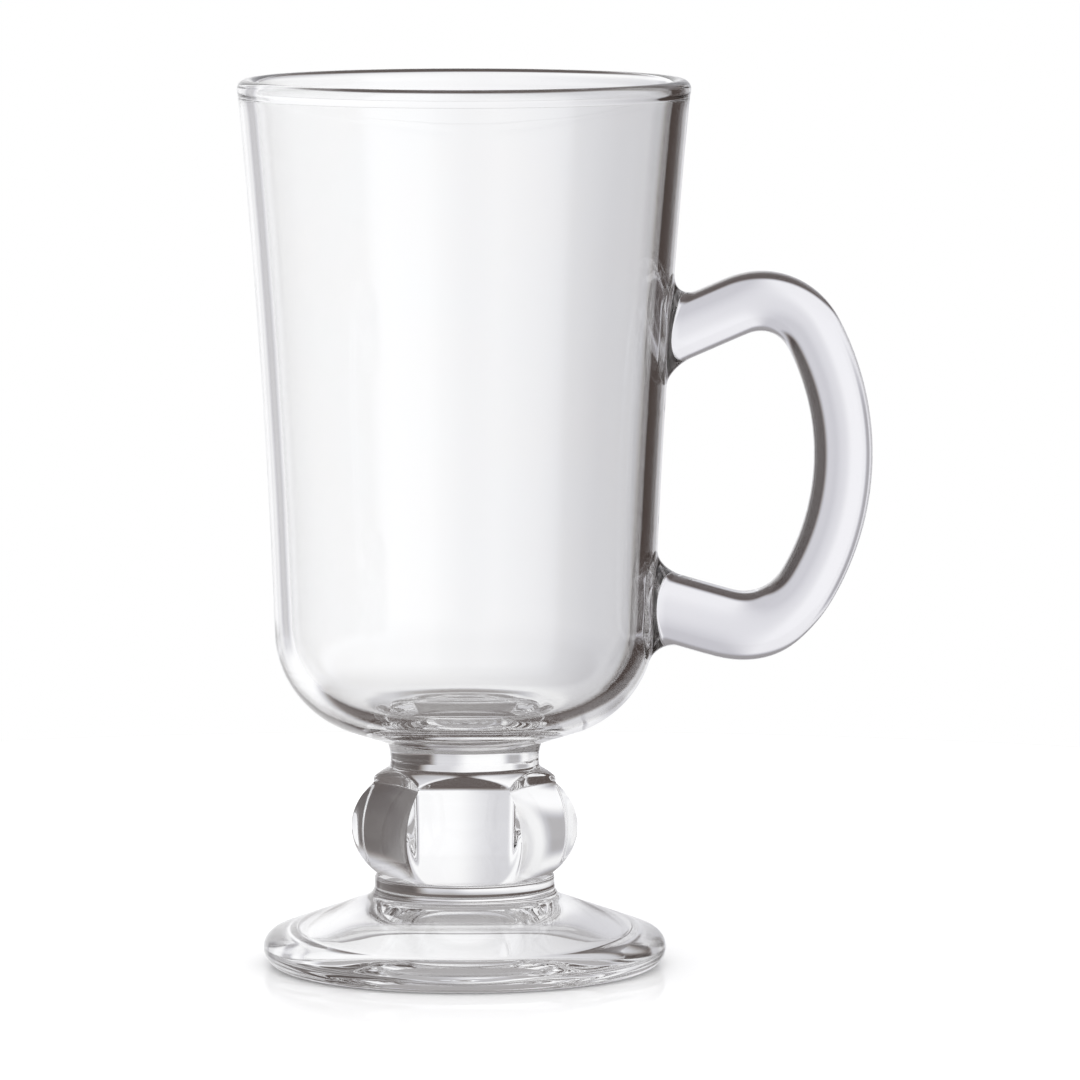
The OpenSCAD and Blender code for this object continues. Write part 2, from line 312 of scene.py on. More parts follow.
# %% The middle line of the ear: three arcs that touch
grip_in, grip_out = RISE - TURN_1, RISE - TURN_1 - TURN_GRIP
end_heading = -180 - FALL
grip_cx = ear_reach - EAR_T / 2 - GRIP_R
bend1_cx = grip_cx - (GRIP_R - BEND_1) * sine(grip_in)
arm1_x = bend1_cx - BEND_1 * sine(RISE)
arm1_z = EAR_Z + (arm1_x - wall_at(EAR_Z)) * tangent(RISE)
bend1_cz = arm1_z - BEND_1 * cosine(RISE)
grip_cz = bend1_cz - (GRIP_R - BEND_1) * cosine(grip_in)
bend2_cx = grip_cx + (BEND_2 - GRIP_R) * sine(grip_out)
bend2_cz = grip_cz - (BEND_2 - GRIP_R) * cosine(grip_out)
arm2_x, arm2_z = bend2_cx - BEND_2 * sine(end_heading), bend2_cz + BEND_2 * cosine(end_heading)
root2_z = arm2_z + (arm2_x - wall_at(arm2_z)) * tangent(FALL)
print(f"upper arm at {EAR_Z:.1f} mm, lower arm at {root2_z:.1f} mm up the wall")

# %% The grid of the wall, and the loop of points round a root
COLUMNS, HALF_COLUMNS = 360, 17    # columns round the cup, and half of them across a window
WINDOW, WINDOW_ROWS = 12.4, 36     # half the height of a window, and its rows
half_rows = WINDOW_ROWS // 2
loop = np.array([(i, -half_rows) for i in range(-HALF_COLUMNS, HALF_COLUMNS)]
                + [(HALF_COLUMNS, j) for j in range(-half_rows, half_rows)]
                + [(i, half_rows) for i in range(HALF_COLUMNS, -HALF_COLUMNS, -1)]
                + [(-HALF_COLUMNS, j) for j in range(half_rows, -half_rows, -1)], float)
column_width = wall_at(EAR_Z) * math.radians(360 / COLUMNS)
around = np.arctan2(loop[:, 1] * WINDOW / half_rows / EAR_T, loop[:, 0] * column_width / EAR_DEPTH)
print("each root has", len(loop), "points round it")

# %% The section of the ear, and how it grows
def section(angle):
    wide, tall = np.abs(np.cos(angle)) ** EAR_SQUARE, np.abs(np.sin(angle)) ** EAR_SQUARE
    reach = (wide + tall) ** (-1 / EAR_SQUARE)
    return EAR_DEPTH / 2 * reach * np.cos(angle), EAR_T / 2 * reach * np.sin(angle)


def extra(heading):
    bend = BEND_MORE * np.exp(-0.5 * ((heading - BEND_AT) / BEND_SPREAD) ** 2)
    return bend + ARM_MORE / (1 + np.exp((heading - ARM_AT) / ARM_SPREAD))


def thicken(u, more):
    return u * (1 + more / EAR_T) + more / 2


side_v, side_u = section(around)
print(f"the ear is {EAR_T + extra(RISE):.2f} mm thick at its upper arm,",
      f"{EAR_T + extra(end_heading):.2f} mm at its lower arm")

# %% The outline of each root, point for point
MEETING_STEPS = 30


def on_wall(w, z):
    r = wall_at(z)
    return np.stack([r * np.cos(w), r * np.sin(w), z], 1)


def root(side, level, slope):
    u = thicken(side_u, extra(slope if side > 0 else -180 - slope))
    way = np.array([cosine(slope), 0, side * sine(slope)])
    across = np.array([-sine(slope), 0, side * cosine(slope)])
    meet = np.array([wall_at(level), 0, level]) + np.outer(u, across) + np.outer(side_v, [0, 1, 0])
    for _ in range(MEETING_STEPS):
        short = wall_at(meet[:, 2]) - np.hypot(meet[:, 0], meet[:, 1])
        meet = meet + np.outer(short / way[0], way)
    turn, rise = np.arctan2(meet[:, 1], meet[:, 0]), meet[:, 2] - level
    upright = np.abs(np.sin(around)) ** FLARE_FADE
    flare = np.where(np.sin(around) > 0, FLARE_OUT, FLARE_IN)
    flare = FLARE_SIDE + (flare - FLARE_SIDE) * upright
    spread_w = turn * wall_at(level) + flare * np.cos(around)
    spread_h = rise + side * flare * np.sin(around)
    outline = on_wall(spread_w / wall_at(level), level + spread_h)
    length = FLARE_SIDE_LEN + (FLARE_LEN - FLARE_SIDE_LEN) * upright
    return meet, outline, meet + np.outer(length, way)


roots = {1: root(1, EAR_Z, RISE), -1: root(-1, root2_z, FALL)}
for side, (_, outline, _) in roots.items():
    heights = outline[:, 2]
    print("root", side, "reaches from", heights.min().round(1), "to", heights.max().round(1), "mm")

# %% [markdown]
# ## Turning rings into a mesh
# A glass piece is a closed skin. It could be modelled by hand, but every point here has a
# known place, so the skin is built from rings of points, each bridged to the next with a band
# of faces. A ring of one point closes a pole. Building it this way keeps full control over
# which faces are hidden welds, and over which way every face looks.

# %% A skin made of rings
SHARP = math.radians(50)


class Skin:
    def __init__(self):
        self.points, self.faces, self.hidden = [], [], []

    def ring(self, places):
        first = len(self.points)
        self.points.extend(places)
        return list(range(first, len(self.points)))

    def face(self, corners, hidden):
        self.faces.append(list(dict.fromkeys(corners)))
        self.hidden.append(hidden)

    def bridge(self, ring, onward, flip=False, hidden=False):
        for n in range(len(ring)):
            m = (n + 1) % len(ring)
            corners = [ring[n], ring[m], onward[m % len(onward)], onward[n % len(onward)]]
            self.face(corners[::-1] if flip else corners, hidden)
        return onward


def make_piece(name, skin, materials):
    mesh = bpy.data.meshes.new(name)
    used = sorted({k for face in skin.faces for k in face})
    place = {old: new for new, old in enumerate(used)}
    mesh.from_pydata([tuple(np.asarray(skin.points[k]) * mm) for k in used], [],
                     [[place[k] for k in face] for face in skin.faces])
    for material in materials:
        mesh.materials.append(material)
    mesh.polygons.foreach_set("material_index", [int(h) for h in skin.hidden])
    mesh.polygons.foreach_set("use_smooth", [True] * len(skin.faces))
    mesh.validate()
    mesh.update()
    mesh.set_sharp_from_angle(angle=SHARP)
    piece = bpy.data.objects.new(name, mesh)
    bpy.context.scene.collection.objects.link(piece)
    print(f"{name}: {len(used)} points, {sum(len(f) - 2 for f in skin.faces)} triangles")
    return piece


# %% [markdown]
# ## Glass and its hidden welds
# Light slows down in glass by a third, which is what bends it. The surface is nearly perfect,
# but pressed glass is never quite flat: the mould leaves long soft waves and the flames leave
# a finer ripple, and a bump of a hundredth of a millimetre moves the reflections. The
# glass drifts between a trace cool and a trace warm and carries faint smudges from handling.
# The ear's glass is tinted a little darker, a painted shade for the darker tone that light
# gives it, and the foot is scuffed on its standing ring.
# The weld faces inside the glass must not bend light, so they are clear films. The seams of
# the ear's roots are slightly milky, as hot-stuck glass is, which also gives light that is
# caught between wall and ear a way out.

# %% Glass
CLEAR_GLASS_IOR = 1.52
COOL, WARM = (0.985, 0.992, 0.995), (0.992, 0.988, 0.982)
# the ear's darker colour is a painted shade, not a tint of its own: the ear is the same glass as
# the cup
CLEAR_BODY, EAR_PAINTED_SHADE = (1.0, 1.0, 1.0), (0.87, 0.865, 0.895)
RIPPLE, RIPPLE_HEIGHT = 2.6, 0.12          # its grain, and its height beside the waves' height
SMUDGE, SMUDGE_ROUGH = 9, 0.012            # grain of the smudges, and how rough they are
SMUDGE_FROM, SMUDGE_TO = 0.52, 0.75        # where in the noise a smudge begins and is full
SCUFF, SCUFF_ROUGH = 0.35, 0.45            # grain of the scuffs, and how rough they are


def new_material(name):
    material = bpy.data.materials.new(name)
    material.use_nodes = True
    bench = Bench(material.node_tree)
    bench.tree.nodes.clear()
    return material, bench, bench.add("ShaderNodeTexCoord", out="Object")


def tinted(color, body):
    return (*(a * b for a, b in zip(color, body)), 1)


# body darkens the glass's colour; only the ear's is below white, and that darkening is painted
# shade
def glass(name, wave, depth=0.012, scuff_below=None, body=CLEAR_BODY):
    material, bench, place = new_material(name)
    waves = bench.noise(place, wave, 1.0)
    height = waves + bench.noise(place, RIPPLE, 2.0) * RIPPLE_HEIGHT
    smudge = bench.noise(place, SMUDGE, 5.0, Roughness=0.65, Distortion=0.6)
    roughness = bench.ramp(smudge, SMUDGE_FROM, SMUDGE_TO, 0.0, SMUDGE_ROUGH, "LINEAR")
    if scuff_below is not None:
        level = bench.add("ShaderNodeSeparateXYZ", {}, {0: place}, out=2)
        worn = bench.ramp(level, 0.0, scuff_below * mm, 1.0, 0.0)
        roughness = roughness + worn * bench.noise(place, SCUFF, 3.0) * SCUFF_ROUGH
    tint = bench.add("ShaderNodeMix", {"data_type": "RGBA"}, {
        "Factor": waves, 6: tinted(COOL, body), 7: tinted(WARM, body)}, out=2)
    normal = bench.add("ShaderNodeBump", {}, {
        "Strength": 1.0, "Distance": depth * mm, "Height": height})
    shader = bench.add("ShaderNodeBsdfPrincipled", {}, {
        "Base Color": tint, "Roughness": roughness, "Normal": normal,
        "IOR": CLEAR_GLASS_IOR, "Transmission Weight": 1.0})
    bench.add("ShaderNodeOutputMaterial", {}, {0: shader})
    return material


cup_glass = glass("cup_glass", wave=14.0)
stem_glass = glass("stem_glass", wave=9.0)
foot_glass = glass("foot_glass", wave=12.0, depth=0.006, scuff_below=0.5)
# the ear's glass is a darker copy of the cup's glass: painted shade
ear_glass_painted_shade = glass("ear_glass_painted_shade", wave=11.0, body=EAR_PAINTED_SHADE)
print("glass:", [m.name for m in (cup_glass, stem_glass, foot_glass, ear_glass_painted_shade)])

# %% Films on the hidden weld faces
CLEAR, MILK = (1, 1, 1, 1), (0.97, 0.93, 0.9, 1)
STREAK = 2.5


def weld_film(name, haze):
    material, bench, place = new_material(name)
    streaks = bench.noise(place, STREAK, 2.0)
    clear = bench.add("ShaderNodeBsdfTransparent", {}, {"Color": CLEAR})
    milk = bench.add("ShaderNodeBsdfTranslucent", {}, {"Color": MILK})
    shader = bench.add("ShaderNodeMixShader", {}, {0: streaks * (2 * haze), 1: clear, 2: milk})
    bench.add("ShaderNodeOutputMaterial", {}, {0: shader})
    return material


weld = weld_film("weld_inside_the_glass", 0.0)
seam = weld_film("seam_of_the_ear", 0.3)
print("films:", weld.name, "and", seam.name)

# %% [markdown]
# ## The cup
# The cup is a turned piece with two windows cut into its outer wall, one for each root of the
# ear. Each window is filled with rings that run from its square edge to the outline of the
# root, and the disc inside the outline becomes a hidden weld. Cutting the windows on grid
# lines leaves the rest of the wall as even as a lathe makes it.

# %% Rows of the cup
WINDOW_MARGIN, BETWEEN_ROWS = 0.3, 18
low_window = root2_z + np.linspace(-WINDOW, WINDOW, WINDOW_ROWS + 1)
high_window = EAR_Z + np.linspace(-WINDOW, WINDOW, WINDOW_ROWS + 1)
between_windows = np.linspace(low_window[-1], high_window[0], BETWEEN_ROWS + 2)[1:-1]
levels = np.concatenate([low_window, between_windows, high_window])
below = thin(outside[outside[:, 1] < levels[0] - WINDOW_MARGIN], turn=3, longest=1.5)
above = thin(outside[outside[:, 1] > levels[-1] + WINDOW_MARGIN], turn=5, longest=2)
cup_rows = np.concatenate([
    [(0, cup_z0), (COLLAR_R / 2, cup_z0)], below,
    np.stack([wall_at(levels), levels], 1), above, thin(inside, turn=5, longest=2)])
low_first = 2 + len(below)
window_first = {-1: low_first, 1: low_first + len(low_window) + len(between_windows)}
print(len(cup_rows), "rows; windows begin at rows", window_first)

# %% The turned skin, with its windows left open
turn_angle = np.arange(COLUMNS) * 2 * np.pi / COLUMNS
last_row = len(cup_rows) - 1
WELD_ROWS = 2
skin = Skin()
for r, z in cup_rows:
    skin.ring([np.array([r * math.cos(a), r * math.sin(a), z]) for a in turn_angle])


def corner(i, j):
    return j * COLUMNS + (0 if j in (0, last_row) else i % COLUMNS)


def in_window(i, j):
    column = (i + COLUMNS // 2) % COLUMNS - COLUMNS // 2
    return -HALF_COLUMNS <= column < HALF_COLUMNS and any(
        first <= j < first + WINDOW_ROWS for first in window_first.values())


for j in range(last_row):
    for i in range(COLUMNS):
        if not in_window(i, j):
            skin.face([corner(i, j), corner(i + 1, j), corner(i + 1, j + 1), corner(i, j + 1)],
                      hidden=j < WELD_ROWS)
print(len(skin.faces), "faces before the windows are filled")

# %% Filling the windows
RINGS_OUT, RINGS_IN, CROWDING = 8, 7, 1.3
discs = {}
for side, (_, outline, _) in roots.items():
    flip = side < 0
    middle_row = window_first[side] + half_rows
    ring = [corner(int(i), middle_row + side * int(j)) for i, j in loop]
    edge = np.array([skin.points[k] for k in ring])
    edge_w, edge_z = np.arctan2(edge[:, 1], edge[:, 0]), edge[:, 2]
    line_w, line_z = np.arctan2(outline[:, 1], outline[:, 0]), outline[:, 2]
    for t in 1 - (1 - np.arange(1, RINGS_OUT + 1) / RINGS_OUT) ** CROWDING:
        places = on_wall(edge_w + (line_w - edge_w) * t, edge_z + (line_z - edge_z) * t)
        ring = skin.bridge(ring, skin.ring(places), flip)
    mid_z = line_z.mean()
    discs[side] = [on_wall(line_w * (1 - t), line_z + (mid_z - line_z) * t)
                   for t in np.arange(1, RINGS_IN) / RINGS_IN]
    discs[side].append(on_wall(np.zeros(1), np.array([mid_z])))
    for places in discs[side]:
        ring = skin.bridge(ring, skin.ring(places), flip, hidden=True)
cup = make_piece("glass_cup", skin, [cup_glass, weld])

# %% [markdown]
# ## The ear
# The ear is a loft: the same ring of points is carried from the upper root along the middle
# line to the lower root. A curve with a bevel would be quicker, but its ends could not grow
# out of a round wall. Near the wall each point follows a quarter of a circle, so there is no
# edge. The path is three arcs and two straight arms, and the section grows towards the lower
# arm, as it does where hot glass sags into its root.

# %% Path of the ear
BEND_STEPS, GRIP_STEPS, ARM_LEAD, PATH_POLISH = 30, 60, 3.0, 0.9


def bend(cx, cz, r, heading, turn, steps):
    h = heading - turn * np.linspace(0, 1, steps + 1)
    return np.stack([cx - r * np.sin(np.radians(h)), cz + r * np.cos(np.radians(h))], 1)


path = np.concatenate([
    bend(bend1_cx, bend1_cz, BEND_1, RISE, TURN_1, BEND_STEPS),
    bend(grip_cx, grip_cz, GRIP_R, grip_in, TURN_GRIP, GRIP_STEPS)[1:],
    bend(bend2_cx, bend2_cz, BEND_2, grip_out, grip_out - end_heading, BEND_STEPS)[1:],
])
path = np.concatenate([
    [path[0] - ARM_LEAD * np.array([cosine(RISE), sine(RISE)])], path,
    [path[-1] + ARM_LEAD * np.array([-cosine(FALL), sine(FALL)])]])
path = thin(polish(path, PATH_POLISH), turn=3, longest=1.6)
heading = np.gradient(path, axis=0)
heading /= np.linalg.norm(heading, axis=1)[:, None]
more = extra(np.degrees(np.unwrap(np.arctan2(heading[:, 1], heading[:, 0]))))
print("the ear's middle line has", len(path), "stations")

# %% Rings of the ear
FILLET_STEPS, ARM_STEPS = 10, 5
QUARTER_CIRCLE = math.sqrt(0.5)


def fillet(side):
    meet, outline, leave = roots[side]
    rings = []
    for t in np.linspace(0, 1, FILLET_STEPS + 1):
        a, b, c = (1 - t) ** 2, 2 * t * (1 - t) * QUARTER_CIRCLE, t ** 2
        rings.append((a * outline + b * meet + c * leave) / (a + b + c))
    return rings


def station(k):
    (x, z), (hx, hz) = path[k], heading[k]
    thick = np.outer(thicken(side_u, more[k]), [-hz, 0, hx])
    return np.array([x, 0, z]) + thick + np.outer(side_v, [0, 1, 0])


def straight(start, end):
    return [start + (end - start) * t for t in np.linspace(0, 1, ARM_STEPS + 2)[1:-1]]


up, down = fillet(1), fillet(-1)
middle = [station(k) for k in range(len(path))]
ear_rings = up + straight(up[-1], middle[0]) + middle + straight(middle[-1], down[-1]) + down[::-1]
print("the ear has", len(ear_rings), "rings of", len(loop), "points")

# %% Ear mesh
skin = Skin()
tube = [skin.ring(places) for places in ear_rings]
for ring, onward in zip(tube, tube[1:]):
    skin.bridge(ring, onward)
for side, ring in ((1, tube[0]), (-1, tube[-1])):
    for places in discs[side]:
        ring = skin.bridge(ring, skin.ring(places), flip=side > 0, hidden=True)
ear = make_piece("glass_ear", skin, [ear_glass_painted_shade, seam])

# %% [markdown]
# ## A lathe made of Geometry Nodes
# Collar, knop and foot are turned pieces too, and the knop follows a rule on top: six panels
# are pressed into it, each with an upright bulge. A Screw modifier could turn a profile but not
# press it, and a node tree can do both. It reads the profile's points by number, sends each row
# round the axis on a grid, and presses the radius down to the panels with a smooth minimum,
# which leaves the soft edges of pressed glass.
# The foot uses the same press on its top face, so both pieces share one weld outline.

# %% The lathe tree: its inputs and its grid
NEAR_AXIS, MERGE = 1e-6, 1e-7  # metres
LATHE_INPUTS = {"Columns": "Int", "Panels": "Int", "Panel centre": "Float", "Panel bulge": "Float",
                "Panel level": "Float", "Neck": "Float", "Flute radius": "Float",
                "Softness": "Float", "Edge": "Float", "Glass": "Material"}


def open_lathe():
    tree = bpy.data.node_groups.new("pressed_lathe", "GeometryNodeTree")
    tree.interface.new_socket("Geometry", in_out="OUTPUT", socket_type="NodeSocketGeometry")
    tree.interface.new_socket("Geometry", in_out="INPUT", socket_type="NodeSocketGeometry")
    for name, kind in LATHE_INPUTS.items():
        tree.interface.new_socket(name, in_out="INPUT", socket_type="NodeSocket" + kind)
    bench = Bench(tree)
    start = bench.add("NodeGroupInput")
    return bench, {s.name: Flow(bench, s) for s in start.socket.node.outputs if s.name}


def lathe_grid(bench, given):
    rows = bench.add("GeometryNodeAttributeDomainSize", {"component": "MESH"}, {
        0: given["Geometry"]})
    grid = bench.add("GeometryNodeMeshGrid", {}, {
        "Vertices X": given["Columns"] + 1, "Vertices Y": rows})
    index = bench.add("GeometryNodeInputIndex")
    column = (index + 0.5).math("FLOOR", (index + 0.5) / rows)
    spot = bench.add("GeometryNodeSampleIndex", {"data_type": "FLOAT_VECTOR", "domain": "POINT"}, {
        "Geometry": given["Geometry"], "Value": bench.add("GeometryNodeInputPosition"),
        "Index": index - column * rows})
    return grid, column, spot


print("the lathe takes", len(LATHE_INPUTS), "values besides its profile")

# %% The lathe tree: pressing the panels
def press_radius(bench, given, r, weight, z, angle):
    sector = (2 * math.pi) / given["Panels"]
    share = (angle / sector).math("FRACT", angle / sector)
    lean = (share - 0.5) * sector
    rise = z - given["Panel level"]
    bulge = given["Panel bulge"] * given["Panel bulge"] - rise * rise
    bulge = bulge.math("MAXIMUM", bulge, 0.0)
    reach = given["Panel centre"] + bulge.math("SQRT", bulge)
    reach = reach.math("MAXIMUM", reach, given["Neck"])
    aside = reach * lean.math("TANGENT", lean)
    reach = (reach + aside * aside / (2 * given["Flute radius"])) / lean.math("COSINE", lean)
    base = r.math("MAXIMUM", r, given["Edge"])
    base = base.math("MAXIMUM", base, NEAR_AXIS)
    pressed = base.math("SMOOTH_MIN", base, reach, given["Softness"])
    return r * (1 - weight * (1 - pressed / base))


def lathe_tree():
    bench, given = open_lathe()
    grid, column, spot = lathe_grid(bench, given)
    r = bench.add("ShaderNodeSeparateXYZ", {}, {0: spot})
    weight, z = bench.other(r, 1), bench.other(r, 2)
    angle = column / given["Columns"] * (2 * math.pi)
    radius = press_radius(bench, given, r, weight, z, angle)
    place = bench.add("ShaderNodeCombineXYZ", {}, {
        0: radius * angle.math("COSINE", angle), 1: radius * angle.math("SINE", angle), 2: z})
    body = bench.add("GeometryNodeSetPosition", {}, {"Geometry": grid, "Position": place})
    body = bench.add("GeometryNodeMergeByDistance", {}, {"Geometry": body, "Distance": MERGE})
    body = bench.add("GeometryNodeSetShadeSmooth", {}, {"Geometry": body})
    body = bench.add("GeometryNodeRealizeInstances", {}, {"Geometry": body})
    body = bench.add("GeometryNodeSetMaterial", {}, {"Geometry": body, "Material": given["Glass"]})
    bench.add("NodeGroupOutput", {}, {0: body})
    return bench.tree


lathe = lathe_tree()
print("lathe tree has", len(lathe.nodes), "nodes")

# %% [markdown]
# ## Using the lathe
# A profile goes in as a chain of points: the radius stands in x, the height in z, and y
# carries a weight that says how strongly the panels press there. The tree's result is turned
# into a plain mesh and the modifier is taken off again. Faces that lie flat on a weld level
# get the clear film, and the enclosed volume tells whether the skin looks outwards.

# %% Measuring a mesh and marking its welds
CLOSE = 1e-3


def measure(mesh):
    places = np.empty(len(mesh.vertices) * 3)
    mesh.vertices.foreach_get("co", places)
    places = places.reshape(-1, 3)
    mesh.calc_loop_triangles()
    triangles = np.array([t.vertices[:] for t in mesh.loop_triangles])
    a, b, c = (places[triangles[:, k]] for k in range(3))
    return places / mm, np.einsum("ij,ij->i", a, np.cross(b, c)).sum() / 6


def mark_welds(mesh, places, welds):
    reach, height = np.hypot(places[:, 0], places[:, 1]), places[:, 2]
    for level, limit in welds:
        flat = ((np.abs(height - level) < CLOSE) & (reach <= limit + CLOSE)).tolist()
        for face in mesh.polygons:
            if all(flat[k] for k in face.vertices):
                face.material_index = 1


print(f"a face is on a weld when it lies within {CLOSE} mm of its level")

# %% Turning a profile
PANELS = 6
FINE_COLUMNS = 384


def lathe_values(material, columns, edge, press):
    values = {"Columns": columns, "Panels": PANELS, "Glass": material, "Edge": edge * mm}
    return values | {name: size * mm for name, size in press.items()}


def turn_mesh(name, profile, values):
    line = bpy.data.meshes.new(name + "_profile")
    line.from_pydata([(r * mm, w, z * mm) for r, z, w in profile],
                     [(k, k + 1) for k in range(len(profile) - 1)], [])
    source = bpy.data.objects.new(name + "_profile", line)
    bpy.context.scene.collection.objects.link(source)
    modifier = source.modifiers.new("lathe", "NODES")
    modifier.node_group = lathe
    sockets = {s.name: s.identifier for s in lathe.interface.items_tree if s.in_out == "INPUT"}
    for key, value in values.items():
        modifier[sockets[key]] = value
    whole = source.evaluated_get(bpy.context.evaluated_depsgraph_get())
    mesh = bpy.data.meshes.new_from_object(whole)
    source.modifiers.remove(modifier)
    bpy.data.objects.remove(source)
    return mesh


def turn_piece(name, profile, material, welds, press, columns=FINE_COLUMNS, edge=0.0):
    mesh = turn_mesh(name, profile, lathe_values(material, columns, edge, press))
    mesh.name = name
    mesh.materials.clear()
    for part in (material, weld):
        mesh.materials.append(part)
    mesh.polygons.foreach_set("material_index", [0] * len(mesh.polygons))
    places, volume = measure(mesh)
    if volume < 0:
        mesh.flip_normals()
    mark_welds(mesh, places, welds)
    mesh.set_sharp_from_angle(angle=SHARP)
    piece = bpy.data.objects.new(name, mesh)
    bpy.context.scene.collection.objects.link(piece)
    print(f"{name}: {len(mesh.vertices)} points, {abs(volume) * 1e6:.2f} cm3 of glass")
    return piece


# %% [markdown]
# ## Collar, knop and foot
# The collar is a short waist whose upper end opens softly into the cup. The knop is a barrel
# with a hollow throat above it and six panels, each a barrel of its own and slightly hollow
# across. The foot is a button on a dome, with a round edge, a narrow standing ring and a
# shallow domed hollow underneath. The panels press fully on the knop, fade out just below
# the collar, and on the foot reach only the face that the knop is fused to.

# %% Stem sizes
WAIST_R, WAIST_Z = 12.3, 34.6              # narrowest radius of the neck, and its level
KNOP_BULGE, KNOP_MID = 10.0, 8.4           # upright radius of the barrel, and its widest level
KNOP_AF, KNOP_AC = 31.3, 37.8              # width across panels and across corners
PANEL_BULGE, PANEL_DROP = 11.0, 0.8        # upright radius of a panel, and how low it sits
FLUTE_R, PANEL_NECK = 60.0, 12.6           # hollow across a panel, and where panels run out
THROAT_R, CORNER_SOFT = 1.2, 0.7
mid_z = knop_z0 + KNOP_MID
panel_c, barrel_c = KNOP_AF / 2 - PANEL_BULGE, KNOP_AC / 2 - KNOP_BULGE
press = {"Panel centre": panel_c, "Panel bulge": PANEL_BULGE, "Panel level": mid_z - PANEL_DROP,
         "Neck": PANEL_NECK, "Flute radius": FLUTE_R, "Softness": CORNER_SOFT}
print(f"the knop is widest at {mid_z:.1f} mm, its panels at {mid_z - PANEL_DROP:.1f} mm")

# %% Collar
COLLAR_STEPS = 40


def neck_r(level):
    return WAIST_R + (COLLAR_R - WAIST_R) * ((level - WAIST_Z) / (cup_z0 - WAIST_Z)) ** 2


levels = np.linspace(knop_z1, cup_z0, COLLAR_STEPS)
side_rows = thin(np.stack([neck_r(levels), levels], 1), turn=4, longest=0.4)
profile = [(0, knop_z1, 0), (WAIST_R / 2, knop_z1, 0), *[(r, z, 0) for r, z in side_rows],
           (COLLAR_R / 2, cup_z0, 0), (0, cup_z0, 0)]
collar = turn_piece("glass_collar", profile, stem_glass,
                    [(knop_z1, math.inf), (cup_z0, math.inf)], press, columns=COLUMNS)

# %% Knop
NECK_STEPS, KNOP_POLISH, PANEL_FADE = 20, 0.3, 0.8
throat_cr = WAIST_R + THROAT_R
throat_cz = mid_z + math.sqrt((KNOP_BULGE + THROAT_R) ** 2 - (throat_cr - barrel_c) ** 2)
neck_levels = np.linspace(max(throat_cz, WAIST_Z), knop_z1, NECK_STEPS)
throat_a = math.degrees(math.atan2(throat_cz - mid_z, throat_cr - barrel_c))
bulge_a = -math.degrees(math.asin(KNOP_MID / KNOP_BULGE))
fine = polish(np.concatenate([
    arc(barrel_c, mid_z, KNOP_BULGE, bulge_a, throat_a),
    arc(throat_cr, throat_cz, THROAT_R, 180 + throat_a, 180)[1:],
    np.stack([neck_r(neck_levels), neck_levels], 1)[1:]]), KNOP_POLISH)
knop_edge = fine[0, 0]
side_rows = thin(fine, turn=2, longest=0.35)
weights = np.clip((knop_z1 - side_rows[:, 1]) / PANEL_FADE, 0, 1)
profile = [(0, knop_z0, 0), (knop_edge / 2, knop_z0, 1),
           *[(r, z, w) for (r, z), w in zip(side_rows, weights)],
           (WAIST_R / 2, knop_z1, 0), (0, knop_z1, 0)]
print(f"the knop stands on a radius of {knop_edge:.2f} mm, its throat is at {throat_cz:.2f} mm")
knop = turn_piece("glass_knop", profile, stem_glass,
                  [(knop_z0, math.inf), (knop_z1, math.inf)], press)

# %% Foot
BUTTON_R, FOOT_FILLET = 14.9, 2.4
EDGE_R, DOME_SLOPE = 3.0, 20
RING_W, RING_IN = 2.0, 2.0                 # the standing ring, and its rounded inner edge
HOLLOW_R = 20.0                            # where the hollow's slope turns into its dome
FOOT_POLISH = 0.35
edge_cr = foot_r - EDGE_R
dome_r0, dome_z0 = edge_cr + EDGE_R * sine(DOME_SLOPE), EDGE_R + EDGE_R * cosine(DOME_SLOPE)
fillet_cr = BUTTON_R + FOOT_FILLET
fillet_cz = dome_z0 + (dome_r0 - fillet_cr) * tangent(DOME_SLOPE) + FOOT_FILLET / cosine(DOME_SLOPE)
ring_r0 = edge_cr - RING_W
hollow_z = RING_IN + (ring_r0 - RING_IN - HOLLOW_R) * tangent(DOME_SLOPE)
hollow_curve = HOLLOW_R / sine(DOME_SLOPE)
fine = polish(np.concatenate([
    [(knop_edge, knop_z0), (BUTTON_R, knop_z0)],
    arc(fillet_cr, fillet_cz, FOOT_FILLET, 180, 270 - DOME_SLOPE),
    arc(edge_cr, EDGE_R, EDGE_R, 90 - DOME_SLOPE, -90),
    arc(ring_r0, RING_IN, RING_IN, -90, -180),
    arc(0, hollow_z - hollow_curve * cosine(DOME_SLOPE), hollow_curve, 90 - DOME_SLOPE, 90)]),
    FOOT_POLISH)
side_rows = thin(fine, turn=4, longest=1.2)
profile = [(0, knop_z0, 1), (knop_edge / 2, knop_z0, 1), (*side_rows[0], 1),
           *[(r, z, 0) for r, z in side_rows[1:]]]
print(f"the hollow under the foot is {fine[-1, 1]:.1f} mm deep")
foot = turn_piece("glass_foot", profile, foot_glass, [(knop_z0, knop_edge)], press, edge=knop_edge)

# %% [markdown]
# ## Tie the pieces to the frame
# Nothing on the mug moves, so every piece rides on its one body. Each stands for the frame's
# node of the same form, the cup for the bowl and the ear for the handle, whose mesh is hidden;
# each keeps the glass it was made with.

# %% Ride and replace
pieces = ((cup, "bowl"), (collar, "collar"), (knop, "knop"), (foot, "foot"), (ear, "handle"))
for piece, node in pieces:
    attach(piece, "root")
    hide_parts(node)
print("pieces tied:", [piece.name for piece, _ in pieces])

# %% [markdown]
# ## Floor
# The mug stands on a plain round white sheet with a slight gloss, which holds a faint mirror
# image of the foot and a soft shadow. An endless plane would meet the white behind it in a
# horizon line, but a small round sheet of a matching white ends without one. The glass doesn't
# see the sheet: what it would gather there is left to the studio.

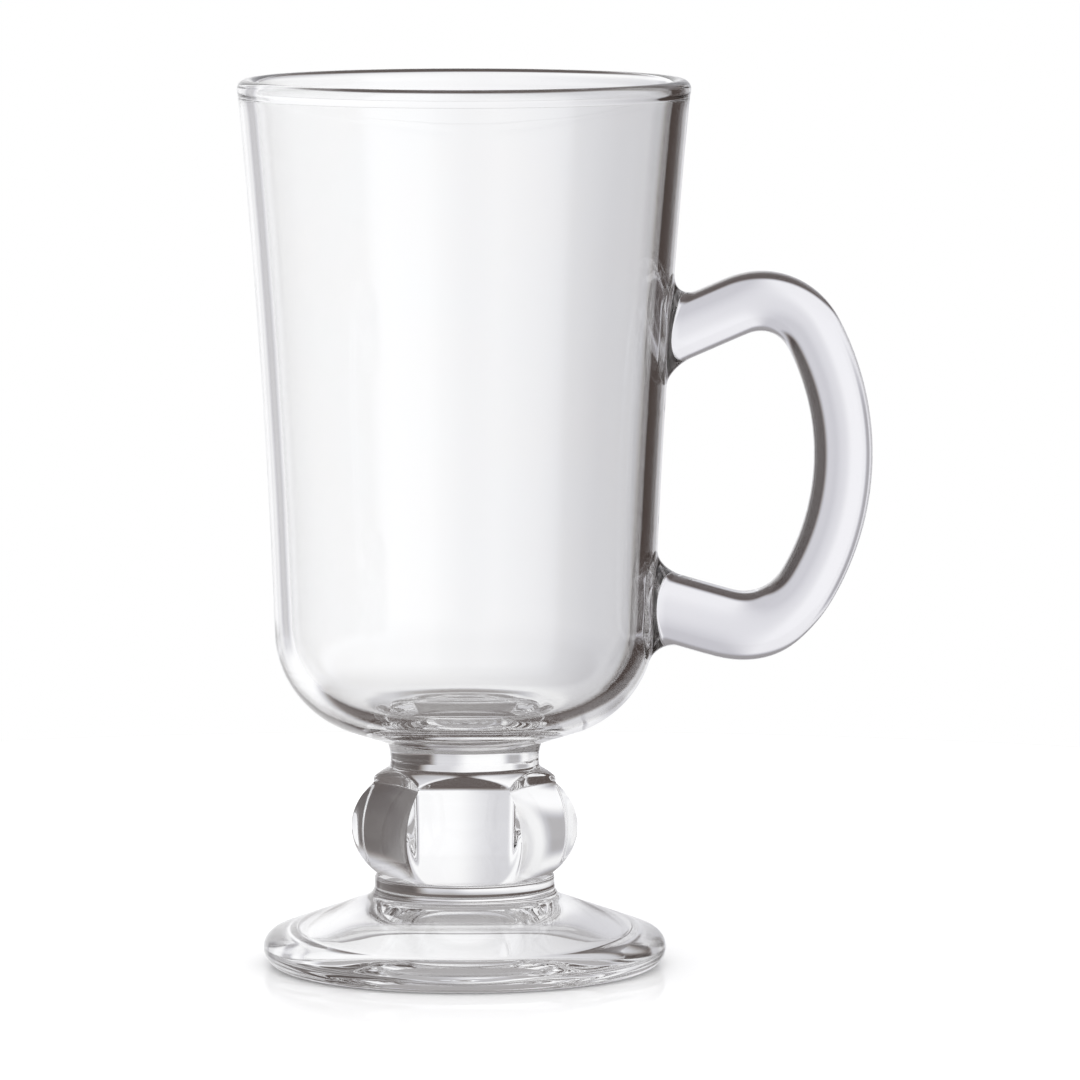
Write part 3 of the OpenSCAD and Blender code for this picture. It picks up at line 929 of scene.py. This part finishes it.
# %% Floor
FLOOR_R, FLOOR_CORNERS = 0.30, 180         # its radius in metres, and the corners of its edge
SHEET_GRAIN, SHEET_GLOSS, SHEET_IOR = 1.1111, 0.10, 1.10
SHEET_COOL, SHEET_WARM = (0.90, 0.90, 0.905, 1), (0.92, 0.92, 0.92, 1)


def sheet_material():
    material, bench, place = new_material("white_sheet")
    tone = bench.add("ShaderNodeMix", {"data_type": "RGBA"}, {
        "Factor": bench.noise(place, SHEET_GRAIN, 2.0), 6: SHEET_COOL, 7: SHEET_WARM}, out=2)
    shader = bench.add("ShaderNodeBsdfPrincipled", {}, {
        "Base Color": tone, "Roughness": SHEET_GLOSS, "IOR": SHEET_IOR})
    bench.add("ShaderNodeOutputMaterial", {}, {0: shader})
    return material


def floor_sheet():
    turn = np.linspace(0, 2 * np.pi, FLOOR_CORNERS, endpoint=False)
    mesh = bpy.data.meshes.new("floor")
    mesh.from_pydata([(FLOOR_R * math.cos(a), FLOOR_R * math.sin(a), 0) for a in turn], [],
                     [list(range(FLOOR_CORNERS))])
    mesh.materials.append(sheet_material())
    sheet = bpy.data.objects.new("floor", mesh)
    bpy.context.scene.collection.objects.link(sheet)
    sheet.visible_transmission = False
    sheet.visible_glossy = False


floor_sheet()
print("floor laid,", 2 * FLOOR_R, "m across")

# %% [markdown]
# ## The studio
# Clear glass on a white ground is lit from behind and from one side. What the camera sees past
# the mug is plain white. What the curved glass gathers is the rest of the studio: a wide soft
# sheet of light behind and to the left with a dimmer gap in it, a box on the left and one in
# front, a dark flag on the right, and a darker ceiling and table. Area lights could do it, but
# the world shader draws the same studio by direction, without noise and the same in all views.

# %% Studio sizes
ROOM, CEILING, TABLE = 0.72, 0.42, 0.10
FLOOR_FILL = 1.8  # the white floor is lit by this, so that it stays white
CEILING_LEVEL, TABLE_LEVEL, LEVEL_SOFT = 26, -33, 5
LIGHTS = {  # middle and half width to the right of straight back, low and high, all in degrees
    "sheet": dict(middle=-24.5, half=26, low=-60, high=36, soft=4.5, soft_ends=10, light=1.04),
    "left box": dict(middle=-108, half=56, low=-60, high=12, soft=6, soft_ends=8, light=1.0),
    "front box": dict(middle=149, half=23, low=-60, high=10, soft=8, soft_ends=8, light=1.0),
    "gap": dict(middle=-32, half=7, low=-14, high=14, soft=4, soft_ends=5, light=0.50),
    "flag": dict(middle=68.5, half=51.5, low=-60, high=16, soft=4, soft_ends=6, light=0.07),
}
DARK_TONE, MID_TONE = (1.0, 0.74, 0.66), (1.0, 0.96, 0.95)
SOFT_TONE, BRIGHT_TONE = (0.95, 0.945, 1.0), (0.99, 0.99, 1.0)
print("studio:", ", ".join(LIGHTS))

# %% Light by direction
def studio_light(bench, azimuth, elevation):
    def step(level, soft):
        return bench.ramp(elevation, level - soft, level + soft)

    light = ROOM
    for it in LIGHTS.values():
        away = azimuth.math("WRAP", azimuth - it["middle"], 180.0, -180.0)
        away = away.math("ABSOLUTE", away)
        across = 1 - bench.ramp(away, it["half"] - it["soft"], it["half"] + it["soft"])
        share = across * step(it["low"], it["soft_ends"]) * (1 - step(it["high"], it["soft_ends"]))
        light = light + share * (it["light"] - light)
    light = light + step(CEILING_LEVEL, LEVEL_SOFT) * (CEILING - light)
    return TABLE + step(TABLE_LEVEL, LEVEL_SOFT) * (light - TABLE)


def studio():
    world = bpy.data.worlds.new("studio")
    bpy.context.scene.world = world
    world.use_nodes = True
    bench = Bench(world.node_tree)
    bench.tree.nodes.clear()
    way = bench.add("ShaderNodeTexCoord", out="Generated")
    x = bench.add("ShaderNodeSeparateXYZ", {}, {0: way})
    y, z = bench.other(x, 1), bench.other(x, 2)
    light = studio_light(bench, x.math("ARCTAN2", x, y) * (180 / math.pi),
                         z.math("ARCSINE", z) * (180 / math.pi))
    tone = bench.add("ShaderNodeValToRGB", {"stops": [
        (0.0, DARK_TONE), (0.35, MID_TONE), (0.6, SOFT_TONE), (1.0, BRIGHT_TONE)]}, {0: light})
    seen = bench.add("ShaderNodeLightPath", out="Is Camera Ray")
    scattered = bench.other(seen, "Is Diffuse Ray")
    gathered = bench.add("ShaderNodeBackground", {}, {"Color": tone, "Strength": light})
    fill = bench.add("ShaderNodeBackground", {}, {"Color": CLEAR, "Strength": FLOOR_FILL})
    white = bench.add("ShaderNodeBackground", {}, {"Color": CLEAR, "Strength": 1.0})
    mix = bench.add("ShaderNodeMixShader", {}, {0: scattered, 1: gathered, 2: fill})
    mix = bench.add("ShaderNodeMixShader", {}, {0: seen, 1: mix, 2: white})
    bench.add("ShaderNodeOutputWorld", {}, {0: mix})
    return bench


sky = studio()
print("the studio takes", len(sky.tree.nodes), "nodes")

# %% [markdown]
# ## How light is followed
# A ray that enters the mug is bent and mirrored many times before it leaves. If it is given
# up too soon the glass turns black there, so long paths are allowed.

# %% Paths and colours
PATHS, FILM_PATHS = 32, 64
scene = bpy.context.scene
scene.view_settings.view_transform = "Standard"
scene.cycles.use_denoising = True
scene.cycles.max_bounces = PATHS
scene.cycles.transmission_bounces = PATHS
scene.cycles.glossy_bounces = PATHS
scene.cycles.transparent_max_bounces = FILM_PATHS
print("a ray may be bent", PATHS, "times")
